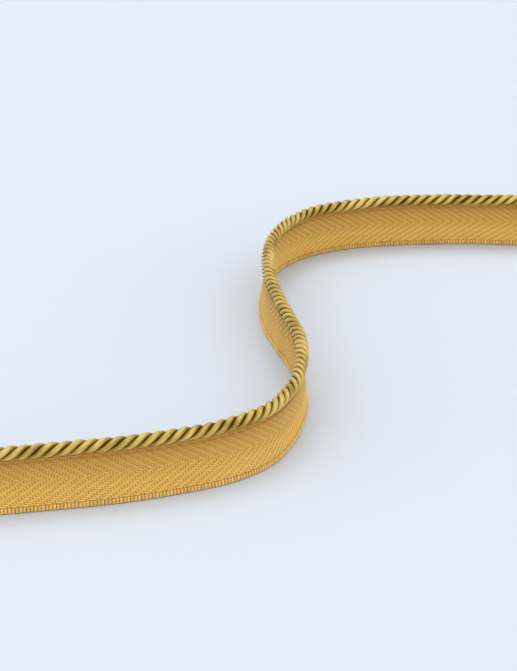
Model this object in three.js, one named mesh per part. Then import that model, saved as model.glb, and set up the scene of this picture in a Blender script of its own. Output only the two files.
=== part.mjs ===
// Flanged cord trim: a three-strand twisted cord sewn along the head of a herringbone tape.
// Millimetres, +Z up. The trim stands on the knitted edge of its tape, at Z = 0, and snakes
// across the floor in one long S. The origin is on the floor, at the middle of its outline.

import * as THREE from 'three';

// ---------------------------------------------------------------- driving dimensions

const cordDiameter = 5.0;        // over the three strands
const cordLay = 13.8;            // one full turn of a strand along the cord
const strandCount = 3;
const strandGap = 0.3;           // between neighbouring strands
const coverThickness = 0.35;     // satin yarn wound over the filler of a strand
const fillerGap = 0.2;           // between a strand's filler and its cover
const tapeWidth = 19.1;          // floor to the sewn head of the tape
const tapeThickness = 0.9;
const knittedEdgeHeight = 2.0;   // chain of weft loops along the foot of the tape
const knittedEdgeThickness = 1.3;
const pieceGap = 0.3;            // clearance between pieces that touch
const threadWidth = 0.6;         // sewing thread, as it lies along the tape
const threadDepth = 0.4;
const seamBelowHead = 1.2;       // middle of the seam below the head of the tape
const cordTip = 6.0;             // bare cord past each cut end of the tape
const whippingSetback = 1.2;     // from the end of the cord to its whipping
const whippingLength = 3.2;
const whippingThickness = 0.4;

// ---------------------------------------------------------------- how finely pieces are cut

const stepsPerTurn = 6;          // stations along one turn of a strand
const strandSides = 5;
const tapeStep = 8.0;            // longest station spacing along the tape
const whippingSteps = 2;
const whippingSides = 12;

// ---------------------------------------------------------------- the line the trim lies on

// Each row is x, y of the cord above the floor, then how far the foot of the tape leans out
// to the right of the cord, seen while walking from the first row to the last.
const route = [
  [-142.3, -137.32, 1.4],
  [-121.5, -134.2, 1.4],
  [-101.5, -131.2, 1.4],
  [-81.0, -126.8, 1.6],
  [-61.5, -122.4, 1.4],
  [-41.5, -115.6, 1.0],
  [-24.0, -106.6, 1.2],
  [-11.5, -94.2, 1.2],
  [-4.0, -78.8, 1.0],
  [0.4, -60.4, 1.2],
  [1.8, -41.4, 1.8],
  [0.8, -24.4, 1.8],
  [-3.0, -4.4, 0.4],
  [-6.5, 14.6, -1.2],
  [-9.2, 33.6, -2.8],
  [-10.4, 52.6, -3.4],
  [-10.1, 70.6, -3.4],
  [-7.2, 89.6, -3.4],
  [-1.5, 105.4, -2.8],
  [8.4, 119.0, -2.6],
  [23.0, 128.6, -2.6],
  [41.0, 134.0, -2.6],
  [60.0, 136.7, -2.0],
  [80.0, 137.2, -2.4],
  [100.0, 136.2, -1.6],
  [121.0, 134.4, -1.2],
  [142.2, 132.6, -1.0],
];

const cordHeight = tapeWidth + pieceGap + cordDiameter / 2;
const routeCurve = new THREE.CatmullRomCurve3(route.map(([x, y]) => new THREE.Vector3(x, y, cordHeight)));
routeCurve.arcLengthDivisions = 2600;
const cordLength = routeCurve.getLength();

// The lean eases from one row of the route to the next.
function leanAt(share) {
  const place = routeCurve.getUtoTmapping(share) * (route.length - 1);
  const row = Math.min(Math.floor(place), route.length - 2);
  const blend = THREE.MathUtils.smoothstep(place - row, 0, 1);
  return THREE.MathUtils.lerp(route[row][2], route[row + 1][2], blend);
}

// A point beside the cord's line: along the route, across it to the right, and above the floor.
function pointBeside(along, across, height) {
  const share = THREE.MathUtils.clamp(along / cordLength, 0, 1);
  const middle = routeCurve.getPointAt(share);
  const ahead = routeCurve.getTangentAt(share);
  const out = across + leanAt(share) * Math.max(0, 1 - height / cordHeight);
  return new THREE.Vector3(middle.x + ahead.y * out, middle.y - ahead.x * out, height);
}

// ---------------------------------------------------------------- sweeping a section

// Sweeps a section along the route. Each section is a counter-clockwise list of [across, height]
// points, and sectionAt(along) gives it at each station, so that it may turn as it goes.
function sweep(sectionAt, from, to, steps) {
  const rings = [];
  for (let step = 0; step <= steps; step += 1) {
    const along = from + ((to - from) * step) / steps;
    rings.push(sectionAt(along).map(([across, height]) => pointBeside(along, across, height)));
  }
  const sides = rings[0].length;
  const faces = [];
  for (let step = 0; step < steps; step += 1) {
    for (let side = 0; side < sides; side += 1) {
      const here = step * sides + side;
      const beside = step * sides + ((side + 1) % sides);
      faces.push(here, here + sides, beside);
      faces.push(beside, here + sides, beside + sides);
    }
  }
  const outline = sectionAt(from).map(([across, height]) => new THREE.Vector2(across, height));
  const last = steps * sides;
  for (const [a, b, c] of THREE.ShapeUtils.triangulateShape(outline, [])) {
    faces.push(a, b, c);
    faces.push(last + a, last + c, last + b);
  }
  return closedGeometry(rings.flat(), faces);
}

// A hollow band around the cord, swept the same way, with an open bore from end to end.
function sweepBand(innerAt, outerAt, from, to, steps) {
  const rings = [];
  for (let step = 0; step <= steps; step += 1) {
    const along = from + ((to - from) * step) / steps;
    rings.push(outerAt(along).map(([across, height]) => pointBeside(along, across, height)));
    rings.push(innerAt(along).map(([across, height]) => pointBeside(along, across, height)));
  }
  const sides = rings[0].length;
  const faces = [];
  for (let side = 0; side < sides; side += 1) {
    const next = (side + 1) % sides;
    for (let step = 0; step < steps; step += 1) {
      const outer = 2 * step * sides;
      const inner = outer + sides;
      const ahead = 2 * sides;
      faces.push(outer + side, outer + side + ahead, outer + next);
      faces.push(outer + next, outer + side + ahead, outer + next + ahead);
      faces.push(inner + next, inner + side + ahead, inner + side);
      faces.push(inner + next, inner + next + ahead, inner + side + ahead);
    }
    const outerEnd = 2 * steps * sides;
    const innerEnd = outerEnd + sides;
    faces.push(side, next, sides + side);
    faces.push(next, sides + next, sides + side);
    faces.push(outerEnd + side, innerEnd + side, outerEnd + next);
    faces.push(outerEnd + next, innerEnd + side, innerEnd + next);
  }
  return closedGeometry(rings.flat(), faces);
}

function closedGeometry(points, faces) {
  const geometry = new THREE.BufferGeometry();
  const numbers = new Float32Array(points.flatMap((point) => point.toArray()));
  geometry.setAttribute('position', new THREE.BufferAttribute(numbers, 3));
  geometry.setIndex(faces);
  geometry.computeVertexNormals();
  return geometry;
}

// ---------------------------------------------------------------- sections

function circle(radius, sides, across, height, turn) {
  const points = [];
  for (let side = 0; side < sides; side += 1) {
    const angle = turn + (side / sides) * Math.PI * 2;
    points.push([across + radius * Math.cos(angle), height + radius * Math.sin(angle)]);
  }
  return points;
}

function rectangle(width, low, high, across = 0) {
  return [
    [across - width / 2, low],
    [across + width / 2, low],
    [across + width / 2, high],
    [across - width / 2, high],
  ];
}

// ---------------------------------------------------------------- sub-parts

// Neighbouring strands keep strandGap between them inside the cord's diameter.
const spread = Math.sin(Math.PI / strandCount);
const strandRadius = ((cordDiameter / 2) * spread - strandGap / 2) / (1 + spread);
const strandCircle = cordDiameter / 2 - strandRadius;

const boreRadius = strandRadius - coverThickness;
const cordSteps = Math.ceil((cordLength / cordLay) * stepsPerTurn);

// A round section of one strand, which runs in a left-hand helix around the cord's middle.
function strandSection(index, radius) {
  return (along) => {
    const turn = (index / strandCount + along / cordLay) * Math.PI * 2;
    const across = strandCircle * Math.cos(turn);
    const height = cordHeight + strandCircle * Math.sin(turn);
    return circle(radius, strandSides, across, height, turn);
  };
}

// The satin yarn wound over a strand, as one tube that is open at both cut ends.
function strandCover(index) {
  const inner = strandSection(index, boreRadius);
  const outer = strandSection(index, strandRadius);
  return sweepBand(inner, outer, 0, cordLength, cordSteps);
}

// The soft filler yarn that gives a strand its body.
function strandFiller(index) {
  return sweep(strandSection(index, boreRadius - fillerGap), 0, cordLength, cordSteps);
}

const tapeStart = cordTip;
const tapeEnd = cordLength - cordTip;
const tapeSteps = Math.ceil((tapeEnd - tapeStart) / tapeStep);

function sweepAlongTape(section) {
  return sweep(() => section, tapeStart, tapeEnd, tapeSteps);
}

// The herringbone flange, from above its knitted edge to its head under the cord.
function wovenTape() {
  return sweepAlongTape(rectangle(tapeThickness, knittedEdgeHeight + pieceGap, tapeWidth));
}

// The chain of knitted weft loops that the trim stands on.
function knittedEdge() {
  return sweepAlongTape(rectangle(knittedEdgeThickness, 0, knittedEdgeHeight));
}

// The two threads of the seam that joins cord and tape: side 1 is the face, -1 the back.
function seamThread(side) {
  const middle = tapeWidth - seamBelowHead;
  const across = side * (tapeThickness / 2 + pieceGap + threadDepth / 2);
  return sweepAlongTape(rectangle(threadDepth, middle - threadWidth / 2, middle + threadWidth / 2, across));
}

// The binding that stops the strands from unlaying at a cut end of the cord.
function endWhipping(start) {
  const bore = cordDiameter / 2 + pieceGap;
  const innerAt = () => circle(bore, whippingSides, 0, cordHeight, 0);
  const outerAt = () => circle(bore + whippingThickness, whippingSides, 0, cordHeight, 0);
  return sweepBand(innerAt, outerAt, start, start + whippingLength, whippingSteps);
}

// ---------------------------------------------------------------- materials and assembly

function satinYarn(color) {
  return new THREE.MeshStandardMaterial({ color, roughness: 0.42, metalness: 0 });
}

function wovenCotton(color) {
  return new THREE.MeshStandardMaterial({ color, roughness: 0.85, metalness: 0 });
}

function spunFiller(color) {
  return new THREE.MeshStandardMaterial({ color, roughness: 0.95, metalness: 0 });
}

function sewingThread(color) {
  return new THREE.MeshStandardMaterial({ color, roughness: 0.6, metalness: 0 });
}

const trim = new THREE.Group();

function add(name, geometry, material) {
  const mesh = new THREE.Mesh(geometry, material);
  mesh.name = name;
  trim.add(mesh);
}

for (let index = 0; index < strandCount; index += 1) {
  add(`strand_${index + 1}_cover`, strandCover(index), satinYarn('#a1843f'));
  add(`strand_${index + 1}_filler`, strandFiller(index), spunFiller('#d8c58e'));
}
add('woven_tape', wovenTape(), wovenCotton('#caa151'));
add('knitted_edge', knittedEdge(), wovenCotton('#c69b4a'));
add('needle_thread', seamThread(1), sewingThread('#b8893a'));
add('looper_thread', seamThread(-1), sewingThread('#b8893a'));
const lastWhipping = cordLength - whippingSetback - whippingLength;
add('left_end_whipping', endWhipping(whippingSetback), sewingThread('#a8873f'));
add('right_end_whipping', endWhipping(lastWhipping), sewingThread('#a8873f'));

export default trim;
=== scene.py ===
# %% [markdown]
# # A flanged cord trim
# A cord of three satin strands is sewn along the head of a herringbone tape, and the trim
# stands on the tape's knitted edge in one long S. The solid model gives every place and size.
# This lesson lays the real yarns over it: strands, warp ends, weft picks, loops and stitches.
# Each is a small shape that repeats along one line, so Geometry Nodes make nearly all of it.

import math

import bpy
import numpy as np
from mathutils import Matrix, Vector


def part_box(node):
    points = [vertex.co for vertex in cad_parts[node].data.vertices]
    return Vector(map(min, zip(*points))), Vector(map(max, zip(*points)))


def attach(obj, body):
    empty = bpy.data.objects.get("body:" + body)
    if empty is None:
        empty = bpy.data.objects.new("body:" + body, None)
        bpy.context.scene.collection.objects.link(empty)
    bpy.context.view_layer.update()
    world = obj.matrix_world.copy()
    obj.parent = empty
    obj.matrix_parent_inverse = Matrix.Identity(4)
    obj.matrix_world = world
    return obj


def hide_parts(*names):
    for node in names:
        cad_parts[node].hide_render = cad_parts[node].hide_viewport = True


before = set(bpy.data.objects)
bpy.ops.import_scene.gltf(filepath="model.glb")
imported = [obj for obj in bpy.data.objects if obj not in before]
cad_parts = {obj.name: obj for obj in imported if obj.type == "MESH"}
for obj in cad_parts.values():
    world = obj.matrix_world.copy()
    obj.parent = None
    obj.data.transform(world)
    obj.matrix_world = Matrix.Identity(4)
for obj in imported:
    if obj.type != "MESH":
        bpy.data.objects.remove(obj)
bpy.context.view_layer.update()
MM = 0.001

# %% [markdown]
# ## Heights and sizes
# The solids already hold the heights: the tape's foot and head, the knitted edge, and the
# middle of the cord, which is the middle of a whipping. Reading them keeps the two in step.

# %% Read the sizes
tape_foot, tape_head = (corner.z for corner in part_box("woven_tape"))
edge_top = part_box("knitted_edge")[1].z
whipping_low, whipping_high = (corner.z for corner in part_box("left_end_whipping"))
CORD_HEIGHT = (whipping_low + whipping_high) / 2
CORD_DIAMETER = 5.0 * MM
CORD_LAY = 13.8 * MM
CORD_TIP = 6.0 * MM
STRANDS = 3
heights = (tape_foot, tape_head, CORD_HEIGHT)
print("tape's foot, tape's head and cord, in mm:", [round(height / MM, 2) for height in heights])

# %% [markdown]
# ## The line the trim lies on
# Every piece follows one smooth line over the floor. It is a centripetal Catmull-Rom spline
# through listed rows, the same as in the solid model. Arcs would be fewer numbers, but
# a limp trim doesn't lie in arcs. The third number of a row is how far the foot of the tape
# leans out to the right of the cord, as one walks along it.

# %% The rows of the line, in millimetres
ROUTE = np.array([
    [-142.3, -137.32, 1.4], [-121.5, -134.2, 1.4], [-101.5, -131.2, 1.4],
    [-81.0, -126.8, 1.6], [-61.5, -122.4, 1.4], [-41.5, -115.6, 1.0],
    [-24.0, -106.6, 1.2], [-11.5, -94.2, 1.2], [-4.0, -78.8, 1.0],
    [0.4, -60.4, 1.2], [1.8, -41.4, 1.8], [0.8, -24.4, 1.8],
    [-3.0, -4.4, 0.4], [-6.5, 14.6, -1.2], [-9.2, 33.6, -2.8],
    [-10.4, 52.6, -3.4], [-10.1, 70.6, -3.4], [-7.2, 89.6, -3.4],
    [-1.5, 105.4, -2.8], [8.4, 119.0, -2.6], [23.0, 128.6, -2.6],
    [41.0, 134.0, -2.6], [60.0, 136.7, -2.0], [80.0, 137.2, -2.4],
    [100.0, 136.2, -1.6], [121.0, 134.4, -1.2], [142.2, 132.6, -1.0],
]) * MM

# %% The spline between the rows
def spline_pieces(places):
    """The four cubic terms of each stretch between two rows."""
    before = 2 * places[0] - places[1]
    after = 2 * places[-1] - places[-2]
    all_places = np.vstack([before, places, after])
    p0, p1, p2, p3 = (all_places[i:len(places) - 1 + i] for i in range(4))
    d0, d1, d2 = (np.linalg.norm(b - a, axis=1)[:, None] ** 0.5
                  for a, b in ((p0, p1), (p1, p2), (p2, p3)))
    start = ((p1 - p0) / d0 - (p2 - p0) / (d0 + d1) + (p2 - p1) / d1) * d1
    end = ((p2 - p1) / d1 - (p3 - p1) / (d1 + d2) + (p3 - p2) / d2) * d1
    return p1, start, 3 * (p2 - p1) - 2 * start - end, 2 * (p1 - p2) + start + end


TERMS = spline_pieces(ROUTE[:, :2])


def spline_at(row):
    """Places and directions at row numbers that may have a fraction."""
    stretch = np.clip(row.astype(int), 0, len(ROUTE) - 2)
    t = (row - stretch)[:, None]
    a, b, c, d = (term[stretch] for term in TERMS)
    direction = b + 2 * c * t + 3 * d * t * t
    return a + t * (b + t * (c + t * d)), direction / np.linalg.norm(direction, axis=1)[:, None]


FINE_POINTS = 20001

fine_rows = np.linspace(0, len(ROUTE) - 1, FINE_POINTS)
fine_steps = np.linalg.norm(np.diff(spline_at(fine_rows)[0], axis=0), axis=1)
fine_lengths = np.concatenate([[0], np.cumsum(fine_steps)])
CORD_LENGTH = float(fine_lengths[-1])
print("cord length", round(CORD_LENGTH, 4), "m")

# %% Places along the line
def along_route(along):
    """The place on the floor, the way to the right, and the lean, at lengths along the line."""
    row = np.interp(along, fine_lengths, fine_rows)
    place, ahead = spline_at(row)
    stretch = np.clip(row.astype(int), 0, len(ROUTE) - 2)
    t = row - stretch
    ease = t * t * (3 - 2 * t)
    lean = ROUTE[stretch, 2] + (ROUTE[stretch + 1, 2] - ROUTE[stretch, 2]) * ease
    floor = np.zeros((len(along), 1))
    return np.hstack([place, floor]), np.stack([ahead[:, 1], -ahead[:, 0], floor[:, 0]], 1), lean

# %% [markdown]
# ## Camera
# The trim is long and low, so a long lens from a standing eye keeps its two runs parallel.
# The camera and the cord come first, because how far a cord may spread depends on the view.

# %% Set the camera
ELEVATION = math.radians(22)
DISTANCE = 0.9
AIM = (-0.0145, 0.0291, 0.0)
FOCAL_LENGTH, SENSOR_WIDTH = 119.05, 36

camera = bpy.data.objects.new("camera", bpy.data.cameras.new("camera"))
camera.data.lens = FOCAL_LENGTH
camera.data.sensor_width = SENSOR_WIDTH
camera.location = (
    AIM[0],
    AIM[1] - DISTANCE * math.cos(ELEVATION),
    AIM[2] + DISTANCE * math.sin(ELEVATION),
)
camera.rotation_euler = (math.pi / 2 - ELEVATION, 0, 0)
bpy.context.collection.objects.link(camera)
bpy.context.scene.camera = camera
bpy.context.scene.view_settings.view_transform = "Standard"
print("camera at", [round(v, 3) for v in camera.location])

# %% [markdown]
# ## Helpers for node trees
# One small function adds any node: settings by name, and inputs as values or as the nodes
# they are linked from. Colours are written as sRGB hex, and one function makes them linear.

# %% Add a node, read a colour
def add(tree, kind, inputs=(), **settings):
    """Adds a node. An input given as a node or a socket is linked, and anything else is set."""
    node = tree.nodes.new(kind)
    for name, value in settings.items():
        setattr(node, name, value)
    for place, value in dict(inputs).items():
        source = value.outputs[0] if isinstance(value, bpy.types.Node) else value
        if isinstance(source, bpy.types.NodeSocket):
            tree.links.new(source, node.inputs[place])
        else:
            node.inputs[place].default_value = source
    return node


def linear(hex_colour):
    """An sRGB hex colour as the linear colour that a socket takes."""
    channels = [int(hex_colour[i:i + 2], 16) / 255 for i in (1, 3, 5)]
    curve = [c / 12.92 if c <= 0.04045 else ((c + 0.055) / 1.055) ** 2.4 for c in channels]
    return (*curve, 1)

# %% [markdown]
# ## Materials
# Satin yarn is rayon: smooth parallel filaments in olive gold. On the crown of a strand they
# catch the light in fine pale streaks. Between the strands the light is lost, so the groove is
# given painted shade, dark and with almost no shine. Highlights could be left to the lights
# alone, but a satin's are finer than a rough surface gives, so streaks of painted highlight
# are mixed into the crowns.
# Cotton is short hairs in every direction, so it is matt, warm and a little furry.
# A yarn's pattern reads attributes that the yarn carries, so it follows the yarn. The fur, and
# the painted shade near the seam and under the loops, have no direction, and read the piece's
# own coordinates.

# %% Start a material
def new_material(name, **values):
    """A Principled material with its constant sockets set."""
    material = bpy.data.materials.new(name)
    material.use_nodes = True
    shader = material.node_tree.nodes["Principled BSDF"]
    for socket, value in values.items():
        shader.inputs[socket.replace("_", " ")].default_value = value
    return material, material.node_tree, shader

# %% Satin yarn: its filaments
# A single filament is about 0.02 mm, too fine to show, so each streak stands for a bundle.
FILAMENT_WIDTH = 0.32 * MM
FILAMENT_RUN = 4.0 * MM

satin, tree, shader = new_material("satin_rayon_yarn", Specular_Tint=linear("#f6dc98"))
rim = add(tree, "ShaderNodeAttribute", attribute_name="rim")
along = add(tree, "ShaderNodeAttribute", attribute_name="along")
reach = add(tree, "ShaderNodeAttribute", attribute_name="reach")
across = add(tree, "ShaderNodeVectorMath", {0: rim.outputs["Vector"], 3: 1 / FILAMENT_WIDTH},
             operation="SCALE")
run = add(tree, "ShaderNodeMath", {0: along.outputs["Fac"], 1: 1 / FILAMENT_RUN},
          operation="MULTIPLY")
run = add(tree, "ShaderNodeCombineXYZ", {"Z": run})
lie = add(tree, "ShaderNodeVectorMath", {0: across, 1: run}, operation="ADD")
filament = add(tree, "ShaderNodeTexNoise", {"Vector": lie, "Scale": 1.0, "Detail": 2.0})
print("filament nodes:", len(tree.nodes))

# %% Satin yarn: its colour, from the groove to the crest
# How far out a place lies, as a share of the cord's radius, tells groove from crest.
# The groove colour is painted shade, mixed in where a place lies deep between the strands.
GROOVE_START, GROOVE_END, GROOVE_SHADE_COLOUR = 0.6, 0.95, "#44300a"
# The crest colour is a painted highlight on a strand's crown, broken up by the filament streaks.
CREST_START, CREST_END, CREST_HIGHLIGHT_COLOUR = 0.86, 1.03, "#ecd484"
CREST_HIGHLIGHT_STRENGTH, CREST_BETWEEN_STREAKS = 0.62, 0.35
STREAK_START, STREAK_END = 0.3, 0.7
YARN_DARK, YARN_LIGHT = "#82641c", "#c2a044"

lit = add(tree, "ShaderNodeMapRange",
          {"Value": reach.outputs["Fac"], "From Min": GROOVE_START, "From Max": GROOVE_END},
          interpolation_type="SMOOTHSTEP")
streak = add(tree, "ShaderNodeMapRange",
             {"Value": filament, "From Min": STREAK_START, "From Max": STREAK_END})
yarn = add(tree, "ShaderNodeMix",
           {0: streak, 6: linear(YARN_DARK), 7: linear(YARN_LIGHT)}, data_type="RGBA")
crest = add(tree, "ShaderNodeMapRange",
            {"Value": reach.outputs["Fac"], "From Min": CREST_START, "From Max": CREST_END,
             "To Max": CREST_HIGHLIGHT_STRENGTH}, interpolation_type="SMOOTHSTEP")
catch = add(tree, "ShaderNodeMapRange", {"Value": streak, "To Min": CREST_BETWEEN_STREAKS})
crest = add(tree, "ShaderNodeMath", {0: crest, 1: catch}, operation="MULTIPLY")
yarn = add(tree, "ShaderNodeMix",
           {0: crest, 6: yarn.outputs[2], 7: linear(CREST_HIGHLIGHT_COLOUR)}, data_type="RGBA")
depth = add(tree, "ShaderNodeMix",
            {0: lit, 6: linear(GROOVE_SHADE_COLOUR), 7: yarn.outputs[2]}, data_type="RGBA")
tree.links.new(depth.outputs[2], shader.inputs["Base Color"])
print("colour runs from", GROOVE_SHADE_COLOUR, "to", CREST_HIGHLIGHT_COLOUR)

# %% Satin yarn: its gloss and relief
GROOVE_SHINE, CREST_SHINE = 0.05, 0.8
ROUGHNESS_LEAST, ROUGHNESS_MOST = 0.3, 0.46
FILAMENT_RELIEF, FILAMENT_DEPTH = 0.35, 0.08 * MM

shine = add(tree, "ShaderNodeMapRange",
            {"Value": lit, "To Min": GROOVE_SHINE, "To Max": CREST_SHINE})
tree.links.new(shine.outputs[0], shader.inputs["Specular IOR Level"])
gloss = add(tree, "ShaderNodeMapRange",
            {"Value": filament, "To Min": ROUGHNESS_LEAST, "To Max": ROUGHNESS_MOST})
tree.links.new(gloss.outputs[0], shader.inputs["Roughness"])
relief = add(tree, "ShaderNodeBump",
             {"Strength": FILAMENT_RELIEF, "Distance": FILAMENT_DEPTH, "Height": filament})
tree.links.new(relief.outputs[0], shader.inputs["Normal"])
print("material", satin.name)

# %% [markdown]
# The tape is mercerised cotton, woven so that each end floats over three picks and dips
# under one. A dip holds a little shadow, so its colour deepens there as painted shade. The
# cloth near the seam sees mostly the cord above it, and the loops' underside sees only the
# floor, so both are darkened too. Light alone gives part of this, and the rest is painted
# shade, mixed in by height.

# %% Woven and knitted cotton
# A cotton hair is about 0.02 mm, too fine to show, so the noise for the fur is coarser.
HAIR = 0.35 * MM
HAIR_FLECK = 0.1
HAIR_RELIEF, HAIR_DEPTH = 0.4, 0.1 * MM
# Painted shade under the cord: over the last 12 mm below the tape's head, and everything above it,
# the colour is mixed towards a deep red brown.
SEAM_SHADE, PAINTED_SEAM_SHADE_STRENGTH, PAINTED_SEAM_SHADE_COLOUR = 12.0 * MM, 0.62, "#a06a22"
UNDERSIDE, UNDERSIDE_SHADE = 0.6 * MM, 0.35


def cotton(name, crown, hollow, spread, fade_from=0.0, **values):
    """A matt cotton, lightest on the crown of a yarn and deepest in its dip.

    The dip is a wave from -1, the middle of a float, to 1, and the colour deepens over it
    from fade_from upwards, as painted shade in the dip. Spread is how far the tone of single
    yarns differs.
    """
    material, tree, shader = new_material(
        name, Roughness=0.82, Specular_IOR_Level=0.3, Sheen_Roughness=0.5, **values)
    dip = add(tree, "ShaderNodeAttribute", attribute_name="dip")
    tone = add(tree, "ShaderNodeAttribute", attribute_name="tone")
    place = add(tree, "ShaderNodeTexCoord")
    hairs = add(tree, "ShaderNodeTexNoise",
                {"Vector": place.outputs["Object"], "Scale": 1 / HAIR, "Detail": 3.0})
    depth = add(tree, "ShaderNodeMapRange",
                {"Value": dip.outputs["Fac"], "From Min": fade_from})
    colour = add(tree, "ShaderNodeMix",
                 {0: depth, 6: linear(crown), 7: linear(hollow)}, data_type="RGBA")
    up = add(tree, "ShaderNodeSeparateXYZ", {0: place.outputs["Object"]})
    # Painted shade near the seam, by height.
    near = add(tree, "ShaderNodeMapRange",
               {"Value": up.outputs["Z"], "From Min": tape_head - SEAM_SHADE,
                "From Max": tape_head, "To Max": PAINTED_SEAM_SHADE_STRENGTH})
    colour = add(tree, "ShaderNodeMix",
                 {0: near, 6: colour.outputs[2], 7: linear(PAINTED_SEAM_SHADE_COLOUR)}, data_type="RGBA")
    shade = add(tree, "ShaderNodeMapRange",
                {"Value": tone.outputs["Fac"], "To Min": 1 - spread, "To Max": 1 + spread})
    fleck = add(tree, "ShaderNodeMapRange",
                {"Value": hairs, "To Min": 1 - HAIR_FLECK, "To Max": 1 + HAIR_FLECK})
    shade = add(tree, "ShaderNodeMath", {0: shade, 1: fleck}, operation="MULTIPLY")
    # Painted shade on the lowest 0.6 mm, the loops' underside that faces the floor.
    under = add(tree, "ShaderNodeMapRange",
                {"Value": up.outputs["Z"], "From Max": UNDERSIDE, "To Min": UNDERSIDE_SHADE})
    shade = add(tree, "ShaderNodeMath", {0: shade, 1: under}, operation="MULTIPLY")
    colour = add(tree, "ShaderNodeVectorMath", {0: colour.outputs[2], 3: shade}, operation="SCALE")
    tree.links.new(colour.outputs[0], shader.inputs["Base Color"])
    relief = add(tree, "ShaderNodeBump",
                 {"Strength": HAIR_RELIEF, "Distance": HAIR_DEPTH, "Height": hairs})
    tree.links.new(relief.outputs[0], shader.inputs["Normal"])
    print("material", material.name)
    return material


# The warp is what shows: pale on the floats, and deeper towards each dip as painted shade.
warp_cotton = cotton("mercerised_warp_cotton", "#eabe5c", "#bd8e34", 0.05, -1.0, Sheen_Weight=0.15)
# The weft shows only where an end dips, and draws the darker dots along the ribs.
weft_cotton = cotton("mercerised_weft_cotton", "#dfb766", "#8f5c16", 0.04, Sheen_Weight=0.15)
# The ground is painted shade: a darker brown sheet that stands for the shade between yarns.
ground_shade_cotton = cotton("cotton_ground_painted_shade", "#b07c30", "#8a5c1c", 0.0)
# The edge's loops are soft and loose, and no two take quite the same tone.
loop_cotton = cotton("knitted_loop_cotton", "#deb360", "#b5832f", 0.14, Sheen_Weight=0.15)
# Sewing thread is polyester, a little deeper than the cloth and without cotton's sheen.
seam_thread = cotton("polyester_sewing_thread", "#d4a24a", "#9a6c24", 0.08)
# The looper's thread lies in the cord's shade, and is coloured dark as painted shade, so it shows
# as small dark marks.
looper_thread = cotton("painted_shade_looper_thread", "#4e3612", "#3a2408", 0.1)
# The filler is undyed spun cotton, pale and furry.
filler_yarn = cotton("spun_cotton_filler", "#dccb98", "#c9b57c", 0.05, Sheen_Weight=0.2)

# %% [markdown]
# ## The rail
# A rail is a line of points on the floor along the trim. Each point carries how far along it
# is, the way to its right and the lean of the tape there. Every tree below grows on a rail.
# A curve object would give the line too, but a mesh holds these numbers for each point.

# %% Make a rail
def rail(name, start, end, step):
    """A line of points from start to end, as near to one step apart as fits."""
    count = round((end - start) / step) + 1
    along = np.linspace(start, end, count)
    place, right, lean = along_route(along)
    mesh = bpy.data.meshes.new(name)
    mesh.from_pydata(place, [(i, i + 1) for i in range(count - 1)], [])
    mesh.attributes.new("along", "FLOAT", "POINT").data.foreach_set("value", along)
    mesh.attributes.new("lean", "FLOAT", "POINT").data.foreach_set("value", lean)
    mesh.attributes.new("right", "FLOAT_VECTOR", "POINT").data.foreach_set("vector", right.ravel())
    piece = bpy.data.objects.new(name, mesh)
    bpy.context.collection.objects.link(piece)
    return piece

# %% [markdown]
# ## Beside the cord
# This small group turns "this far to the right, this far ahead and this high" into a move
# from the rail. The tape hangs from the cord, so the lean is full at the foot and none at
# the cord. Every tree uses the group, and so everything bends and leans together.

# %% Start a tree
def new_tree(name, inputs, output="NodeSocketGeometry"):
    """A node group with named inputs. It returns the tree, its input node and output node."""
    tree = bpy.data.node_groups.new(name, "GeometryNodeTree")
    for label, value in inputs.items():
        kind = {float: "NodeSocketFloat", int: "NodeSocketInt"}.get(type(value), value)
        socket = tree.interface.new_socket(label, in_out="INPUT", socket_type=kind)
        if kind != value:
            socket.default_value = value
    tree.interface.new_socket("Result", in_out="OUTPUT", socket_type=output)
    return tree, tree.nodes.new("NodeGroupInput").outputs, tree.nodes.new("NodeGroupOutput")

# %% The group that places a point
beside_cord, given, result = new_tree(
    "beside_cord", {"Across": 0.0, "Ahead": 0.0, "Height": 0.0}, "NodeSocketVector")
right = add(beside_cord, "GeometryNodeInputNamedAttribute", {"Name": "right"},
            data_type="FLOAT_VECTOR")
lean = add(beside_cord, "GeometryNodeInputNamedAttribute", {"Name": "lean"}, data_type="FLOAT")
share = add(beside_cord, "ShaderNodeMapRange",
            {"Value": given["Height"], "From Min": 0.0, "From Max": CORD_HEIGHT,
             "To Min": 1.0, "To Max": 0.0})
out = add(beside_cord, "ShaderNodeMath", {0: lean, 1: share, 2: given["Across"]},
          operation="MULTIPLY_ADD")
aside = add(beside_cord, "ShaderNodeVectorMath", {0: right, 3: out}, operation="SCALE")
ahead = add(beside_cord, "ShaderNodeVectorMath", {0: (0, 0, 1), 1: right},
            operation="CROSS_PRODUCT")
ahead = add(beside_cord, "ShaderNodeVectorMath", {0: ahead, 3: given["Ahead"]}, operation="SCALE")
level = add(beside_cord, "ShaderNodeVectorMath", {0: aside, 1: ahead}, operation="ADD")
rise = add(beside_cord, "ShaderNodeCombineXYZ", {"Z": given["Height"]})
move = add(beside_cord, "ShaderNodeVectorMath", {0: level, 1: rise}, operation="ADD")
beside_cord.links.new(move.outputs[0], result.inputs[0])
print("group", beside_cord.name)

# %% Finish a tree, and grow it into a plain mesh
def close_tree(tree, geometry, given, result):
    """Realizes what the tree made and gives it its material."""
    real = add(tree, "GeometryNodeRealizeInstances", {"Geometry": geometry})
    made = add(tree, "GeometryNodeSetMaterial", {"Geometry": real, "Material": given["Material"]})
    tree.links.new(made.outputs[0], result.inputs[0])


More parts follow.
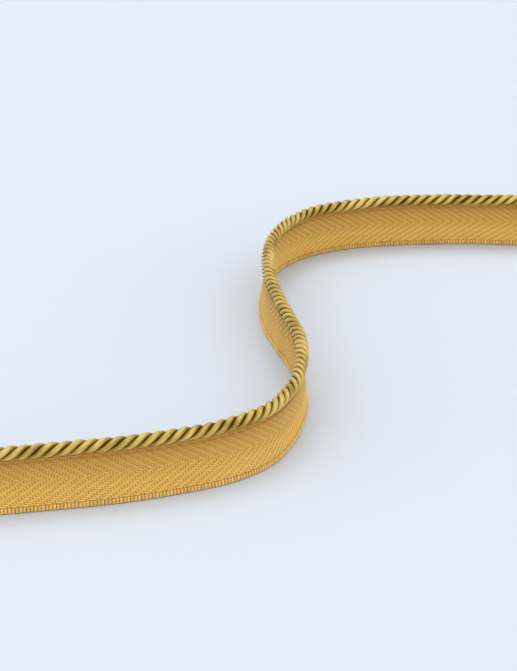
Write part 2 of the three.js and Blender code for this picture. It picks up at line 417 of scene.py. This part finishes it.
def grow(name, on_rail, tree, sizes):
    """Runs a tree on a rail and returns the plain mesh piece that it makes."""
    modifier = on_rail.modifiers.new(tree.name, "NODES")
    modifier.node_group = tree
    for socket in tree.interface.items_tree:
        if socket.in_out == "INPUT" and socket.name in sizes:
            modifier[socket.identifier] = sizes[socket.name]
    view = bpy.context.evaluated_depsgraph_get()
    mesh = bpy.data.meshes.new_from_object(on_rail.evaluated_get(view), depsgraph=view)
    mesh.name = name
    bpy.data.objects.remove(on_rail)
    mesh.shade_smooth()
    piece = bpy.data.objects.new(name, mesh)
    bpy.context.collection.objects.link(piece)
    mesh.calc_loop_triangles()
    print(name, len(mesh.loop_triangles), "triangles")
    return piece

# %% [markdown]
# ## The cord
# Three strands wind round each other in a left-hand lay. Each is a bundle of filaments, so
# its section is a round with shallow flutes, and the flutes run along the strand. A Screw
# modifier, bent along a curve, could make it. A tree that winds a helix round the rail and
# sweeps the section along it does the same with every size as a named input.
# Yarn is never quite even, so the strands swell and shrink over a few millimetres, and the
# whole cord wanders a little over a couple of centimetres.

# %% The tree of a strand: its helix
WANDER_RUN = 22 * MM
SWELL_RUN = 5 * MM
NOISE_MIDDLE = 0.5

strand_tree, given, result = new_tree("twisted_strand", {
    "Rail": "NodeSocketGeometry", "Lay": CORD_LAY, "Circle": 1.0 * MM, "Phase": 0.0,
    "Radius": 1.0 * MM, "Flutes": 12, "Flute Depth": 0.03, "Roll": 0.0,
    "Uneven": 0.0, "Wander": 0.0,
    "Material": "NodeSocketMaterial"})
line = add(strand_tree, "GeometryNodeMeshToCurve", {"Mesh": given["Rail"]})
along = add(strand_tree, "GeometryNodeInputNamedAttribute", {"Name": "along"}, data_type="FLOAT")
turns = add(strand_tree, "ShaderNodeMath", {0: along, 1: given["Lay"]}, operation="DIVIDE")
turn = add(strand_tree, "ShaderNodeMath", {0: turns, 1: 2 * math.pi, 2: given["Phase"]},
           operation="MULTIPLY_ADD")
across = add(strand_tree, "ShaderNodeMath", {0: turn}, operation="COSINE")
across = add(strand_tree, "ShaderNodeMath", {0: across, 1: given["Circle"]}, operation="MULTIPLY")
height = add(strand_tree, "ShaderNodeMath", {0: turn}, operation="SINE")
height = add(strand_tree, "ShaderNodeMath", {0: height, 1: given["Circle"], 2: CORD_HEIGHT},
             operation="MULTIPLY_ADD")
place = add(strand_tree, "GeometryNodeGroup", node_tree=beside_cord)
strand_tree.links.new(across.outputs[0], place.inputs["Across"])
strand_tree.links.new(height.outputs[0], place.inputs["Height"])
here = add(strand_tree, "GeometryNodeInputPosition")
middle = add(strand_tree, "ShaderNodeVectorMath", {0: here, 1: (0, 0, CORD_HEIGHT)},
             operation="ADD")
line = add(strand_tree, "GeometryNodeStoreNamedAttribute",
           {"Geometry": line, "Name": "middle", "Value": middle}, data_type="FLOAT_VECTOR")
wander = add(strand_tree, "ShaderNodeMath", {0: along, 1: 1 / WANDER_RUN}, operation="MULTIPLY")
wander = add(strand_tree, "ShaderNodeTexNoise", {"W": wander, "Scale": 1.0, "Detail": 1.0},
             noise_dimensions="1D")
wander = add(strand_tree, "ShaderNodeVectorMath",
             {0: wander.outputs["Color"], 1: (NOISE_MIDDLE,) * 3}, operation="SUBTRACT")
wander = add(strand_tree, "ShaderNodeVectorMath", {0: wander, 3: given["Wander"]},
             operation="SCALE")
place = add(strand_tree, "ShaderNodeVectorMath", {0: place, 1: wander}, operation="ADD")
line = add(strand_tree, "GeometryNodeSetPosition", {"Geometry": line, "Offset": place})
roll = add(strand_tree, "ShaderNodeMath", {0: turns, 1: given["Roll"]}, operation="MULTIPLY")
line = add(strand_tree, "GeometryNodeSetCurveTilt", {"Curve": line, "Tilt": roll})
print("helix nodes:", len(strand_tree.nodes))

# %% The tree of a strand: its fluted section
points = add(strand_tree, "ShaderNodeMath", {0: given["Flutes"], 1: 2.0}, operation="MULTIPLY")
section = add(strand_tree, "GeometryNodeCurvePrimitiveCircle",
              {"Resolution": points, "Radius": given["Radius"]})
number = add(strand_tree, "GeometryNodeInputIndex")
odd = add(strand_tree, "ShaderNodeMath", {0: number, 1: 2.0}, operation="MODULO")
inset = add(strand_tree, "ShaderNodeMath", {0: odd, 1: given["Flute Depth"]},
            operation="MULTIPLY")
keep = add(strand_tree, "ShaderNodeMath", {0: 1.0, 1: inset}, operation="SUBTRACT")
fluted = add(strand_tree, "ShaderNodeVectorMath", {0: here, 3: keep}, operation="SCALE")
section = add(strand_tree, "GeometryNodeSetPosition", {"Geometry": section, "Position": fluted})
section = add(strand_tree, "GeometryNodeStoreNamedAttribute",
              {"Geometry": section, "Name": "rim", "Value": here}, data_type="FLOAT_VECTOR")
print("helix and section nodes:", len(strand_tree.nodes))

# %% The tree of a strand: the sweep, and how far out each place lies
swell = add(strand_tree, "ShaderNodeMath",
            {0: along, 1: 1 / SWELL_RUN, 2: given["Phase"]}, operation="MULTIPLY_ADD")
swell = add(strand_tree, "ShaderNodeTexNoise", {"W": swell, "Scale": 1.0, "Detail": 2.0},
            noise_dimensions="1D")
swell = add(strand_tree, "ShaderNodeMath", {0: swell, 1: NOISE_MIDDLE}, operation="SUBTRACT")
swell = add(strand_tree, "ShaderNodeMath", {0: swell, 1: given["Uneven"], 2: 1.0},
            operation="MULTIPLY_ADD")
tube = add(strand_tree, "GeometryNodeCurveToMesh",
           {"Curve": line, "Profile Curve": section, "Scale": swell, "Fill Caps": True})
centre = add(strand_tree, "GeometryNodeInputNamedAttribute", {"Name": "middle"},
             data_type="FLOAT_VECTOR")
reach = add(strand_tree, "ShaderNodeVectorMath", {0: here, 1: centre}, operation="DISTANCE")
reach = add(strand_tree, "ShaderNodeMath", {0: reach.outputs["Value"], 1: CORD_DIAMETER / 2},
            operation="DIVIDE")
tube = add(strand_tree, "GeometryNodeStoreNamedAttribute",
           {"Geometry": tube, "Name": "reach", "Value": reach}, data_type="FLOAT")
close_tree(strand_tree, tube, given, result)
print("tree", strand_tree.name)

# %% Three strands
spread = math.sin(math.pi / STRANDS)
STRAND_CIRCLE = CORD_DIAMETER / 2 / (1 + spread)
STRAND_RADIUS = CORD_DIAMETER / 2 - STRAND_CIRCLE
CUT_BACK = 0.3 * MM
WANDER = 0.9 * MM


def helix(name, number, cut_back, stations, sizes):
    """A strand or its filler: a helix with the cord's lay, and so many stations in a turn."""
    lay_rail = rail(f"{name}_rail", cut_back, CORD_LENGTH - cut_back, CORD_LAY / stations)
    return grow(f"{name}_{number + 1}", lay_rail, strand_tree, {
        "Lay": CORD_LAY, "Circle": STRAND_CIRCLE, "Phase": number / STRANDS * 2 * math.pi,
        "Wander": WANDER, **sizes})


strands = [
    helix("satin_strand", number, cut_back=CUT_BACK, stations=30, sizes={
        "Radius": STRAND_RADIUS, "Flutes": 13, "Flute Depth": 0.06, "Roll": -1.5,
        "Uneven": 0.12, "Material": satin})
    for number in range(STRANDS)
]

# %% [markdown]
# A strand is wound over a soft filler, which shows only where the cord is cut. The strand
# could be a hollow tube around it, but its inside is never seen, so it stays solid. The
# filler is the same helix with a smaller section, and stands just out of the satin.

# %% Fillers
FILLER_SHARE = 0.6

fillers = [
    helix("filler", number, cut_back=0, stations=16, sizes={
        "Radius": STRAND_RADIUS * FILLER_SHARE, "Flutes": 5, "Flute Depth": 0.15,
        "Material": filler_yarn})
    for number in range(STRANDS)
]

# %% [markdown]
# Thread wound round each tip keeps the strands from unlaying. A plain ring could stand for
# it, but the eye looks for the turns. A winding is a strand whose lay is one thread wide, so
# the same tree makes it.

# %% Whippings
WHIPPING_SETBACK = 1.2 * MM
WHIPPING_LENGTH = 3.2 * MM
WHIPPING_THREAD = 0.4 * MM
WINDING_STATIONS = 16
# The thread's middle stands out by less than its radius, because it presses into the satin.
THREAD_STANDS_OUT = 0.6


def whipping(name, start):
    """A close winding of thread around the cord."""
    winding = rail("winding_rail", start, start + WHIPPING_LENGTH,
                   WHIPPING_THREAD / WINDING_STATIONS)
    return grow(name, winding, strand_tree, {
        "Lay": WHIPPING_THREAD,
        "Circle": (CORD_DIAMETER + WHIPPING_THREAD * THREAD_STANDS_OUT) / 2,
        "Radius": WHIPPING_THREAD / 2, "Flutes": 4, "Flute Depth": 0.0, "Wander": WANDER,
        "Material": seam_thread})


whippings = [
    whipping("left_whipping", WHIPPING_SETBACK),
    whipping("right_whipping", CORD_LENGTH - WHIPPING_SETBACK - WHIPPING_LENGTH),
]

# %% [markdown]
# Each piece already has its material. Here it is hung on the body that carries it, and the
# solid it stands for is hidden. The strands, the fillers and the whippings all go on the root
# body.

for number, (strand, core) in enumerate(zip(strands, fillers), 1):
    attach(strand, "root")
    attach(core, "root")
    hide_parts(f"strand_{number}_cover")
    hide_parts(f"strand_{number}_filler")
for winding, side in zip(whippings, ("left", "right")):
    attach(winding, "root")
    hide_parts(f"{side}_end_whipping")

print("cord of", len(strands), "strands")

# %% [markdown]
# ## The herringbone tape
# Each warp end floats over three picks and dips under the fourth. The dip moves one pick on
# from each end to the next, which draws the diagonal ribs, and at the apex it turns back, so
# the ribs meet in a row of chevrons. A bump pattern on a flat sheet could draw them, but light
# catches real floats, and at the cut ends each yarn can be seen. So the yarns are shapes, and
# one small group holds the rule for warp and weft.

# %% Thread counts
ENDS = 27
APEX_END = 15
PICK = 0.952 * MM
REPEAT = 4
END_PITCH = (tape_head - tape_foot) / ENDS
TAPE_START, TAPE_END = CORD_TIP, CORD_LENGTH - CORD_TIP
TAPE_LENGTH = TAPE_END - TAPE_START
print("end pitch", round(END_PITCH / MM, 3), "mm,", round(TAPE_LENGTH / PICK), "picks")

# %% The group that says where an end dips
weave_dip, given, result = new_tree("weave_dip", {"Along": 0.0, "Height": 0.0}, "NodeSocketFloat")
above = add(weave_dip, "ShaderNodeMath", {0: given["Height"], 1: tape_foot}, operation="SUBTRACT")
end = add(weave_dip, "ShaderNodeMath", {0: above, 1: END_PITCH}, operation="DIVIDE")
off = add(weave_dip, "ShaderNodeMath", {0: end, 1: APEX_END - 0.5}, operation="SUBTRACT")
off = add(weave_dip, "ShaderNodeMath", {0: off}, operation="ABSOLUTE")
picks = add(weave_dip, "ShaderNodeMath", {0: given["Along"], 1: PICK}, operation="DIVIDE")
count = add(weave_dip, "ShaderNodeMath", {0: picks, 1: off}, operation="ADD")
angle = add(weave_dip, "ShaderNodeMath", {0: count, 1: 2 * math.pi / REPEAT}, operation="MULTIPLY")
wave = add(weave_dip, "ShaderNodeMath", {0: angle}, operation="COSINE")
weave_dip.links.new(wave.outputs[0], result.inputs[0])
print("group", weave_dip.name)

# %% [markdown]
# A warp end is the rail itself, lifted to its height and waved from face to back. The tree
# copies the rail once for each end, and the copy's number gives its height. The upper half of
# the wave moves the end back to its dip, and over the lower half it floats level.

# %% The tree of the warp: where each end runs
warp_tree, given, result = new_tree("warp_ends", {
    "Rail": "NodeSocketGeometry", "First End": 0, "Ends": 12, "Crown": 0.22 * MM,
    "Width": 0.6 * MM, "Thickness": 0.34 * MM, "Material": "NodeSocketMaterial"})
line = add(warp_tree, "GeometryNodeMeshToCurve", {"Mesh": given["Rail"]})
copies = add(warp_tree, "GeometryNodeDuplicateElements",
             {"Geometry": line, "Amount": given["Ends"]}, domain="SPLINE")
number = add(warp_tree, "ShaderNodeMath", {0: copies.outputs[1], 1: given["First End"]},
             operation="ADD")
line = add(warp_tree, "GeometryNodeStoreNamedAttribute",
           {"Geometry": copies, "Name": "end", "Value": number}, data_type="FLOAT",
           domain="CURVE")
number = add(warp_tree, "GeometryNodeInputNamedAttribute", {"Name": "end"}, data_type="FLOAT")
middle = add(warp_tree, "ShaderNodeMath", {0: number, 1: 0.5}, operation="ADD")
height = add(warp_tree, "ShaderNodeMath", {0: middle, 1: END_PITCH, 2: tape_foot},
             operation="MULTIPLY_ADD")
along = add(warp_tree, "GeometryNodeInputNamedAttribute", {"Name": "along"}, data_type="FLOAT")
wave = add(warp_tree, "GeometryNodeGroup", node_tree=weave_dip)
warp_tree.links.new(along.outputs[0], wave.inputs["Along"])
warp_tree.links.new(height.outputs[0], wave.inputs["Height"])
line = add(warp_tree, "GeometryNodeStoreNamedAttribute",
           {"Geometry": line, "Name": "dip", "Value": wave}, data_type="FLOAT")
dip = add(warp_tree, "ShaderNodeMath", {0: wave, 1: 0.0}, operation="MAXIMUM")
tone = add(warp_tree, "FunctionNodeRandomValue", {"ID": number, "Seed": 3}, data_type="FLOAT")
line = add(warp_tree, "GeometryNodeStoreNamedAttribute",
           {"Geometry": line, "Name": "tone", "Value": tone.outputs[1]}, data_type="FLOAT")
side = add(warp_tree, "ShaderNodeMath", {0: dip, 1: -2.0, 2: 1.0}, operation="MULTIPLY_ADD")
across = add(warp_tree, "ShaderNodeMath", {0: side, 1: given["Crown"]}, operation="MULTIPLY")
place = add(warp_tree, "GeometryNodeGroup", node_tree=beside_cord)
warp_tree.links.new(across.outputs[0], place.inputs["Across"])
warp_tree.links.new(height.outputs[0], place.inputs["Height"])
line = add(warp_tree, "GeometryNodeSetPosition", {"Geometry": line, "Offset": place})
line = add(warp_tree, "GeometryNodeSetCurveNormal", {"Curve": line}, mode="Z_UP")
print("nodes that lay out the ends:", len(warp_tree.nodes))

# %% The tree of the warp: its flat section, swept
WARP_SIDES = 6

section = add(warp_tree, "GeometryNodeCurvePrimitiveCircle",
              {"Resolution": WARP_SIDES, "Radius": 0.5})
here = add(warp_tree, "GeometryNodeInputPosition")
flat = add(warp_tree, "ShaderNodeCombineXYZ", {"X": given["Thickness"], "Y": given["Width"]})
flat = add(warp_tree, "ShaderNodeVectorMath", {0: here, 1: flat}, operation="MULTIPLY")
section = add(warp_tree, "GeometryNodeSetPosition", {"Geometry": section, "Position": flat})
tube = add(warp_tree, "GeometryNodeCurveToMesh",
           {"Curve": line, "Profile Curve": section, "Fill Caps": True})
close_tree(warp_tree, tube, given, result)
print("tree", warp_tree.name)

# %% Warp ends of the two bands
WARP_STATION = PICK / 2
WARP_CROWN = 0.22 * MM
WARP_WIDTH = END_PITCH * 1.02
WARP_THICKNESS = 0.36 * MM


def warp_band(name, first_end, ends):
    """The ends of one band of the herringbone, from its lowest end upwards."""
    return grow(name, rail("warp_rail", TAPE_START, TAPE_END, WARP_STATION), warp_tree, {
        "First End": first_end, "Ends": ends, "Crown": WARP_CROWN, "Width": WARP_WIDTH,
        "Thickness": WARP_THICKNESS, "Material": warp_cotton})


warp_lower = warp_band("warp_lower_band", 0, APEX_END)
warp_upper = warp_band("warp_upper_band", APEX_END, ENDS - APEX_END)

# %% [markdown]
# ## A small shape repeated along the tape
# Weft picks, edge loops and stitches are each one short yarn, made once in its own small
# space: right of the tape's middle, ahead along it, and up. An Array with a Curve modifier
# could repeat it, but neither knows how the tape leans. The tree copies it onto every point
# of a rail and then bends each copy into place with the group above. For the weft it also
# waves the copy from back to face by the weave's rule.

# %% The tree that repeats a yarn: its copies
repeat_tree, given, result = new_tree("repeat_along_tape", {
    "Rail": "NodeSocketGeometry", "Yarn": "NodeSocketObject", "Wave": 0.0, "Seed": 1,
    "Material": "NodeSocketMaterial"})
here = add(repeat_tree, "GeometryNodeInputPosition")
points = add(repeat_tree, "GeometryNodeStoreNamedAttribute",
             {"Geometry": given["Rail"], "Name": "spot", "Value": here},
             data_type="FLOAT_VECTOR")
order = add(repeat_tree, "GeometryNodeInputIndex")
tone = add(repeat_tree, "FunctionNodeRandomValue", {"ID": order, "Seed": given["Seed"]},
           data_type="FLOAT")
points = add(repeat_tree, "GeometryNodeStoreNamedAttribute",
             {"Geometry": points, "Name": "tone", "Value": tone.outputs[1]}, data_type="FLOAT")
yarn = add(repeat_tree, "GeometryNodeObjectInfo", {"Object": given["Yarn"]})
copies = add(repeat_tree, "GeometryNodeInstanceOnPoints",
             {"Points": points, "Instance": yarn.outputs["Geometry"]})
copies = add(repeat_tree, "GeometryNodeRealizeInstances", {"Geometry": copies})
print("nodes that copy:", len(repeat_tree.nodes))

# %% The tree that repeats a yarn: each copy bent into place
spot = add(repeat_tree, "GeometryNodeInputNamedAttribute", {"Name": "spot"},
           data_type="FLOAT_VECTOR")
own = add(repeat_tree, "ShaderNodeVectorMath", {0: here, 1: spot}, operation="SUBTRACT")
own = add(repeat_tree, "ShaderNodeSeparateXYZ", {0: own})
along = add(repeat_tree, "GeometryNodeInputNamedAttribute", {"Name": "along"}, data_type="FLOAT")
wave = add(repeat_tree, "GeometryNodeGroup", node_tree=weave_dip)
repeat_tree.links.new(along.outputs[0], wave.inputs["Along"])
repeat_tree.links.new(own.outputs["Z"], wave.inputs["Height"])
dip = add(repeat_tree, "ShaderNodeMath", {0: wave, 1: 0.0}, operation="MAXIMUM")
side = add(repeat_tree, "ShaderNodeMath", {0: dip, 1: 2.0, 2: -1.0}, operation="MULTIPLY_ADD")
across = add(repeat_tree, "ShaderNodeMath", {0: side, 1: given["Wave"], 2: own.outputs["X"]},
             operation="MULTIPLY_ADD")
place = add(repeat_tree, "GeometryNodeGroup", node_tree=beside_cord)
repeat_tree.links.new(across.outputs[0], place.inputs["Across"])
repeat_tree.links.new(own.outputs["Y"], place.inputs["Ahead"])
repeat_tree.links.new(own.outputs["Z"], place.inputs["Height"])
final = add(repeat_tree, "ShaderNodeVectorMath", {0: spot, 1: place}, operation="ADD")
copies = add(repeat_tree, "GeometryNodeSetPosition", {"Geometry": copies, "Position": final})
close_tree(repeat_tree, copies, given, result)
print("tree", repeat_tree.name)

# %% One short yarn
def short_yarn(name, path, width, thickness, sides=6):
    """A closed tube of oval section through a path of (right, ahead, up), to be repeated.

    Its width lies along the tape, and its thickness is square to its width and to the path.
    """
    path = np.array(path, float)
    ahead = np.gradient(path, axis=0)
    ahead /= np.linalg.norm(ahead, axis=1)[:, None]
    wide = np.array([0.0, 1.0, 0.0]) - ahead * ahead[:, 1:2]
    wide /= np.linalg.norm(wide, axis=1)[:, None]
    thick = np.cross(ahead, wide)
    turn = np.arange(sides) / sides * 2 * math.pi
    rings = (path[:, None] + np.cos(turn)[None, :, None] * wide[:, None] * width / 2
             + np.sin(turn)[None, :, None] * thick[:, None] * thickness / 2)
    faces = [list(range(sides))[::-1], [(len(path) - 1) * sides + k for k in range(sides)]]
    for ring in range(len(path) - 1):
        for k in range(sides):
            low, high = ring * sides + k, ring * sides + (k + 1) % sides
            faces.append([low, high, high + sides, low + sides])
    mesh = bpy.data.meshes.new(name)
    mesh.from_pydata(rings.reshape(-1, 3), [], faces)
    return bpy.data.objects.new(name, mesh)

# %% Weft picks
PICK_WIDTH = 0.86 * MM
PICK_THICKNESS = 0.34 * MM
PICK_WAVE = 0.13 * MM
# The tape is sewn up into the cord, and this is how far below its middle a pick ends.
PICK_BELOW_MIDDLE = CORD_DIAMETER * 0.4

end_middles = tape_foot + (np.arange(ENDS) + 0.5) * END_PITCH
pick_top = CORD_HEIGHT - PICK_BELOW_MIDDLE
pick_heights = np.concatenate([[edge_top - END_PITCH / 2], end_middles, [tape_head, pick_top]])
pick_path = [(0, 0, height) for height in pick_heights]
pick_yarn = short_yarn("pick", pick_path, PICK_WIDTH, PICK_THICKNESS, sides=5)
first_pick = math.ceil(TAPE_START / PICK + 0.5) * PICK
last_pick = math.floor(TAPE_END / PICK - 0.5) * PICK
weft = grow("weft_picks", rail("weft_rail", first_pick, last_pick, PICK), repeat_tree,
            {"Yarn": pick_yarn, "Wave": PICK_WAVE, "Seed": 5, "Material": weft_cotton})

# %% [markdown]
# ## The ground under the yarns
# In real cloth the yarns press together and no light passes. Fatter yarns would close the
# gaps but lose their round shapes. A thin closed sheet in the middle of the weave closes them
# instead, and it is also the one sheet of cloth that has the tape's real cut size.

# %% The ground sheet
GROUND_THICKNESS = 0.16 * MM
GROUND_STEP = 2 * MM
GROUND_ROWS = 8
GROUND_BELOW_MIDDLE = CORD_DIAMETER * 0.28


def ribbon(name, low, high, thickness, step, rows):
    """A thin closed sheet that stands along the line from one height to another."""
    along = np.linspace(TAPE_START, TAPE_END, round(TAPE_LENGTH / step) + 1)
    place, right, lean = along_route(along)
    heights = np.linspace(low, high, rows + 1)
    sheets = []
    for side in (1, -1):
        out = lean[:, None] * (1 - heights / CORD_HEIGHT) + side * thickness / 2
        point = place[:, None] + right[:, None] * out[:, :, None]
        point[:, :, 2] = heights
        sheets.append(point.reshape(-1, 3))
    size, wide = len(along) * (rows + 1), rows + 1
    face, back, rim = [], [], []
    for i in range(len(along) - 1):
        for k in range(rows):
            a, b = i * wide + k, (i + 1) * wide + k
            face.append([a, b, b + 1, a + 1])
            back.append([size + a, size + a + 1, size + b + 1, size + b])
        for k in (0, rows):
            a, b = i * wide + k, (i + 1) * wide + k
            strip = [a, size + a, size + b, b]
            rim.append(strip if k == 0 else strip[::-1])
    for i in (0, len(along) - 1):
        for k in range(rows):
            a = i * wide + k
            strip = [a, a + 1, size + a + 1, size + a]
            rim.append(strip if i == 0 else strip[::-1])
    mesh = bpy.data.meshes.new(name)
    mesh.from_pydata(np.vstack(sheets), [], face + back + rim)
    piece = bpy.data.objects.new(name, mesh)
    bpy.context.collection.objects.link(piece)
    print(name, "faces", len(mesh.polygons))
    return piece


ground_low, ground_high = edge_top / 2, CORD_HEIGHT - GROUND_BELOW_MIDDLE
ground = ribbon("tape_ground", ground_low, ground_high, GROUND_THICKNESS, GROUND_STEP, GROUND_ROWS)
# Its darker brown is painted shade for the gaps between the yarns.
ground.data.materials.append(ground_shade_cotton)

# %% [markdown]
# ## The knitted edge
# The weft turns round a chain of loops at the foot, and the trim stands on them. Real loops
# interlock, but only the fat soft turn under the foot shows. So each loop is one bent yarn
# that wraps from the face under the foot to the back, and it is made once and repeated.

# %% Edge loops
LOOP_PITCH = 1.27 * MM
LOOP_YARN = 0.62 * MM
LOOP_WIDTH = LOOP_PITCH * 0.88
LOOP_HALF = 0.42 * MM
LOOP_SLANT = 0.35 * MM
LOOP_BENDS = 7
# A side of a loop starts just above the edge, close to the cloth, and swells below that.
TIP_SHARE, TIP_RISE = 0.55, 0.05 * MM
SHOULDER_SHARE, SHOULDER_DROP = 0.9, 0.45 * MM

loop_low = LOOP_YARN / 2 + LOOP_HALF
face_side = [(LOOP_HALF * TIP_SHARE, LOOP_SLANT, edge_top + TIP_RISE),
             (LOOP_HALF * SHOULDER_SHARE, LOOP_SLANT, edge_top - SHOULDER_DROP)]
under_foot = [(LOOP_HALF * math.cos(angle), LOOP_SLANT * math.cos(angle),
               loop_low - LOOP_HALF * math.sin(angle))
              for angle in np.linspace(0, math.pi, LOOP_BENDS)]
back_side = [(-right, -ahead, height) for right, ahead, height in reversed(face_side)]
loop_yarn = short_yarn("edge_loop", face_side + under_foot + back_side, LOOP_WIDTH, LOOP_YARN)
loop_rail = rail("edge_rail", TAPE_START + LOOP_PITCH / 2, TAPE_END - LOOP_PITCH / 2, LOOP_PITCH)
edge_loops = grow("edge_loops", loop_rail, repeat_tree,
                  {"Yarn": loop_yarn, "Seed": 7, "Material": loop_cotton})

# %% [markdown]
# ## The seams under the cord
# A needle thread lies along the face just under the cord, one stitch after another. On the
# back a looper thread rises from the tape through a strand, and its end comes out at the
# cord's side, where it reads as one small dark mark for each stitch. Its dark colour is
# painted shade, for the small gaps between cord and tape. A drawn dark dot would be simpler,
# but the mark is a thing that stands out a little. Both are short yarns, repeated by the same
# tree at the stitch length.

# %% Stitches
STITCH = 3.9 * MM
seam_height = sum(corner.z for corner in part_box("needle_thread")) / 2


def lengthwise_yarn(name, path, width, thickness):
    """A short yarn that runs along the tape, with its width up the tape."""
    turned = [(x, z, -y) for x, y, z in path]
    piece = short_yarn(name, turned, width, thickness)
    for point in piece.data.vertices:
        x, y, z = point.co
        point.co = (x, -z, y)
    return piece


def stitches(name, yarn, seed, material):
    """One thread of the seam: its stitch repeated almost from cut end to cut end."""
    seam_rail = rail(f"{name}_rail", TAPE_START + STITCH, TAPE_END - STITCH, STITCH)
    return grow(name, seam_rail, repeat_tree, {"Yarn": yarn, "Seed": seed, "Material": material})

# %% The needle thread, which dips into the cloth at both ends of a stitch
NEEDLE_WIDTH, NEEDLE_THICKNESS = 0.42 * MM, 0.34 * MM

needle_places = [(0.30, -1.65), (0.52, -1.25), (0.60, 0), (0.52, 1.25), (0.30, 1.65)]
needle_path = [(right * MM, ahead * MM, seam_height) for right, ahead in needle_places]
needle_yarn = lengthwise_yarn("needle_stitch", needle_path, NEEDLE_WIDTH, NEEDLE_THICKNESS)
needle = stitches("needle_stitches", needle_yarn, 11, seam_thread)

# %% The looper thread, each height being counted from the seam, the head or the cord
LOOPER_WIDTH, LOOPER_THICKNESS = 0.6 * MM, 0.45 * MM

looper_places = [
    (-0.35, -0.9, seam_height, -0.3), (-0.60, -0.6, seam_height, 0.2),
    (-0.70, -0.3, tape_head, -0.1), (-1.2, 0.2, CORD_HEIGHT, -1.7),
    (-2.0, 0.6, CORD_HEIGHT, -1.15), (-2.7, 0.9, CORD_HEIGHT, -0.85),
]
looper_path = [(right * MM, ahead * MM, level + rise * MM)
               for right, ahead, level, rise in looper_places]
looper_yarn = short_yarn("looper_stitch", looper_path, LOOPER_WIDTH, LOOPER_THICKNESS)
looper = stitches("looper_stitches", looper_yarn, 13, looper_thread)

# %% [markdown]
# The cloth's yarns and ground, the edge and the seam threads are hung on the root body, and
# the solids they stand for are hidden.

tape_pieces = [warp_lower, warp_upper, weft, ground]
for piece in tape_pieces:
    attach(piece, "root")
    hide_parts("woven_tape")
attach(edge_loops, "root")
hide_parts("knitted_edge")
for piece, node in ((needle, "needle_thread"), (looper, "looper_thread")):
    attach(piece, "root")
    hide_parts(node)
print("tape of", len(tape_pieces), "pieces")

# %% [markdown]
# ## Floor and light
# The trim stands on a pale, slightly blue board. Four very wide soft lights, one at each
# side, one low in front and one overhead, reach under the cord from every way that shows, so
# the shadows on the tape and the board stay pale and have no edge. One small lamp would be
# simpler, but it would draw the cord's shadow as a hard line. The world fills in the rest.

# %% The floor
# Matt paint gives the eye soft shadows and no reflection.
FLOOR_HALF = 3.0
FLOOR_DROP = 0.02 * MM

floor_material, tree, shader = new_material(
    "matt_painted_board", Base_Color=linear("#c8d0da"), Roughness=0.9, Specular_IOR_Level=0.1)
floor_mesh = bpy.data.meshes.new("floor")
floor_mesh.from_pydata([(x * FLOOR_HALF, y * FLOOR_HALF, -FLOOR_DROP)
                        for x, y in ((-1, -1), (1, -1), (1, 1), (-1, 1))], [], [(0, 1, 2, 3)])
floor = bpy.data.objects.new("floor", floor_mesh)
floor.data.materials.append(floor_material)
bpy.context.collection.objects.link(floor)

# %% Lights
FILL_STRENGTH = 0.5

world = bpy.data.worlds.new("studio")
world.use_nodes = True
sky = world.node_tree.nodes["Background"]
sky.inputs["Color"].default_value = linear("#ffffff")
sky.inputs["Strength"].default_value = FILL_STRENGTH
bpy.context.scene.world = world


def soft_sun(name, way, angle, strength):
    """A wide even light that comes from a direction."""
    lamp = bpy.data.lights.new(name, "SUN")
    lamp.angle = math.radians(angle)
    lamp.energy = strength
    light = bpy.data.objects.new(name, lamp)
    light.rotation_euler = Vector(way).to_track_quat("Z", "Y").to_euler()
    bpy.context.collection.objects.link(light)


soft_sun("left_box", way=(-0.85, -0.25, 0.6), angle=80, strength=1.15)
soft_sun("right_box", way=(0.85, -0.25, 0.6), angle=80, strength=1.15)
soft_sun("front_box", way=(0.0, -0.9, 0.3), angle=60, strength=0.84)
soft_sun("top_box", way=(0.0, 0.3, 1.0), angle=40, strength=1.15)
print("lights set")
